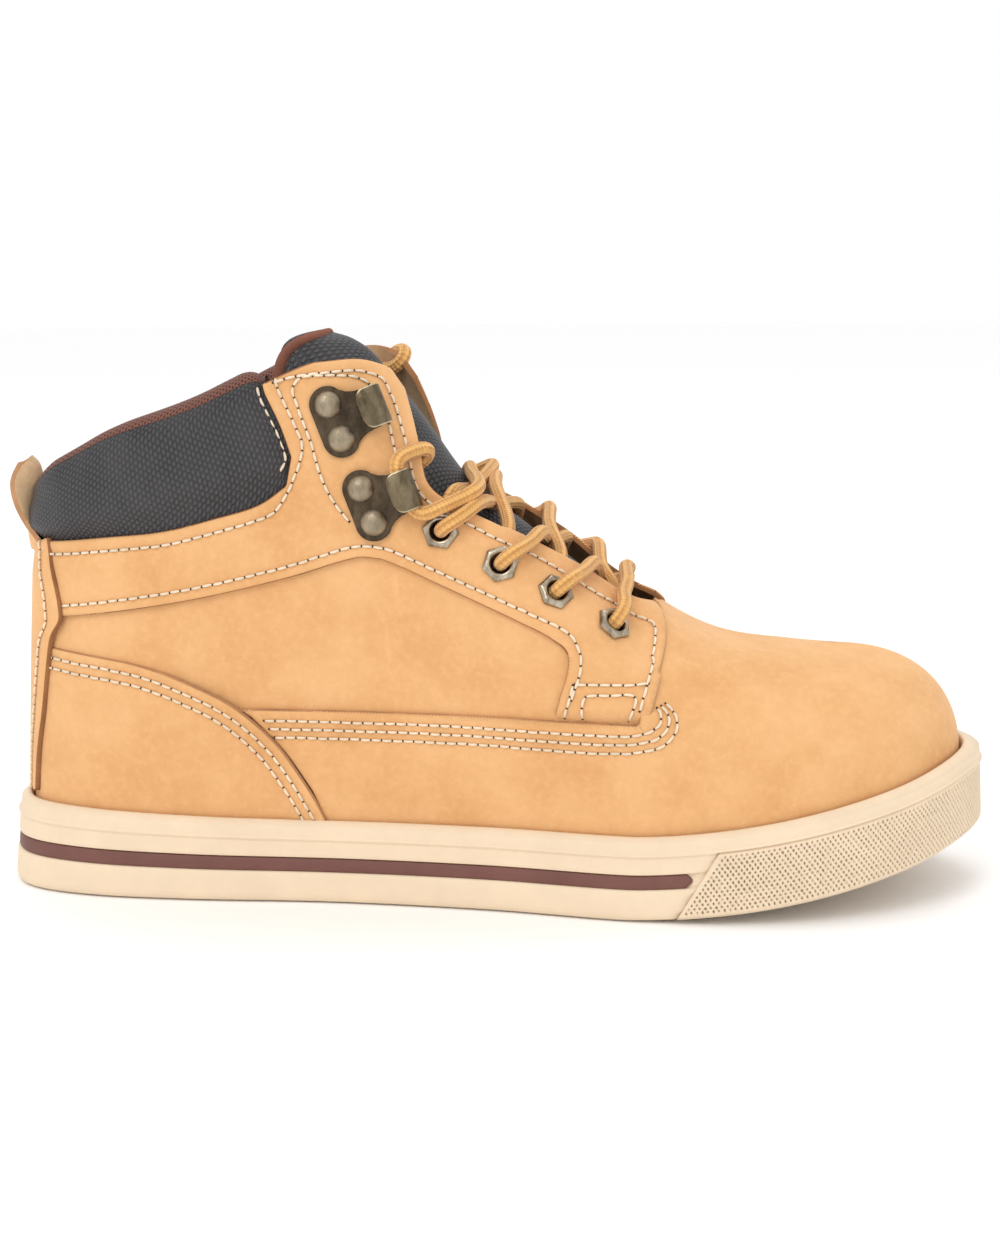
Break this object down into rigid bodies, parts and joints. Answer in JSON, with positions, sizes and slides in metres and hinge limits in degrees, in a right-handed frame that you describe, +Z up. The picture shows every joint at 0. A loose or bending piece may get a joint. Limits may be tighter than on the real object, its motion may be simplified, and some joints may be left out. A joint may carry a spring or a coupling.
{
  "type": "steel toe work boot",
  "caption": "Right-foot ankle work boot with a cupsole, layered leather upper, padded collar, tongue, laced eyelets and speed hooks, and a steel toe cap and midsole inside.",
  "frame": {"origin": "on the floor, under the middle of the boot's length and width", "axes": "+X to the toe, +Z up, -Y to the outer side of the foot"},
  "size_m": [0.3046, 0.0996, 0.1675],
  "materials": {
    "nubuck": "matt nubuck",
    "sole_rubber": "matt",
    "stripe_rubber": "satin",
    "collar_cover": "embossed satin",
    "mesh_lining": "knitted mesh",
    "foam": "open foam",
    "board": "pressed fibre",
    "steel": "pressed",
    "strip_rubber": "matt",
    "nickel": "antique nickel",
    "antique_brass": "antique",
    "lace_cord": "braided"
  },
  "bodies": {
    "boot": {"outsole": "sole_rubber", "sole_stripe": "stripe_rubber", "toe_bumper": "sole_rubber", "midsole_insert": "foam", "steel_midsole": "steel", "insole_board": "board", "footbed": "foam", "vamp": "nubuck", "vamp_lining": "mesh_lining", "toe_cap": "steel", "toe_cap_edge": "strip_rubber", "heel_stiffener": "board", "shaft_lining": "mesh_lining", "collar_pad": "collar_cover", "collar_lining": "mesh_lining", "back_strip": "nubuck", "quarter_lateral": "nubuck", "quarter_medial": "nubuck", "eyestay_lateral": "nubuck", "eyestay_medial": "nubuck", "counter_lateral": "nubuck", "counter_medial": "nubuck", "eyelet_lateral_1": "nickel", "eyelet_lateral_2": "nickel", "eyelet_lateral_3": "nickel", "eyelet_lateral_4": "nickel", "eyelet_medial_1": "nickel", "eyelet_medial_2": "nickel", "eyelet_medial_3": "nickel", "eyelet_medial_4": "nickel", "speed_hook_lateral_1": "antique_brass", "speed_hook_lateral_2": "antique_brass", "speed_hook_medial_1": "antique_brass", "speed_hook_medial_2": "antique_brass", "rivet_lateral_1": "antique_brass", "rivet_lateral_2": "antique_brass", "rivet_lateral_3": "antique_brass", "rivet_lateral_4": "antique_brass", "rivet_medial_1": "antique_brass", "rivet_medial_2": "antique_brass", "rivet_medial_3": "antique_brass", "rivet_medial_4": "antique_brass", "lace": "lace_cord", "aglet_1": "lace_cord", "aglet_2": "lace_cord"},
    "tongue": {"tongue_cover": "collar_cover", "tongue_foam": "foam", "tongue_lining": "mesh_lining"},
    "pull_tab": {"pull_tab": "nubuck"}
  },
  "joints": [
    {"name": "tongue_tilt", "type": "hinge", "parent": "boot", "child": "tongue", "pos_m": [0.046, 0, 0.078], "axis": [0, -1, 0], "range_deg": [0, 8], "stiffness_Nm_per_rad": 1},
    {"name": "pull_tab_flex", "type": "hinge", "parent": "boot", "child": "pull_tab", "pos_m": [-0.1445, 0, 0.106], "axis": [0, -1, 0], "range_deg": [0, 25], "stiffness_Nm_per_rad": 0.05}
  ]
}
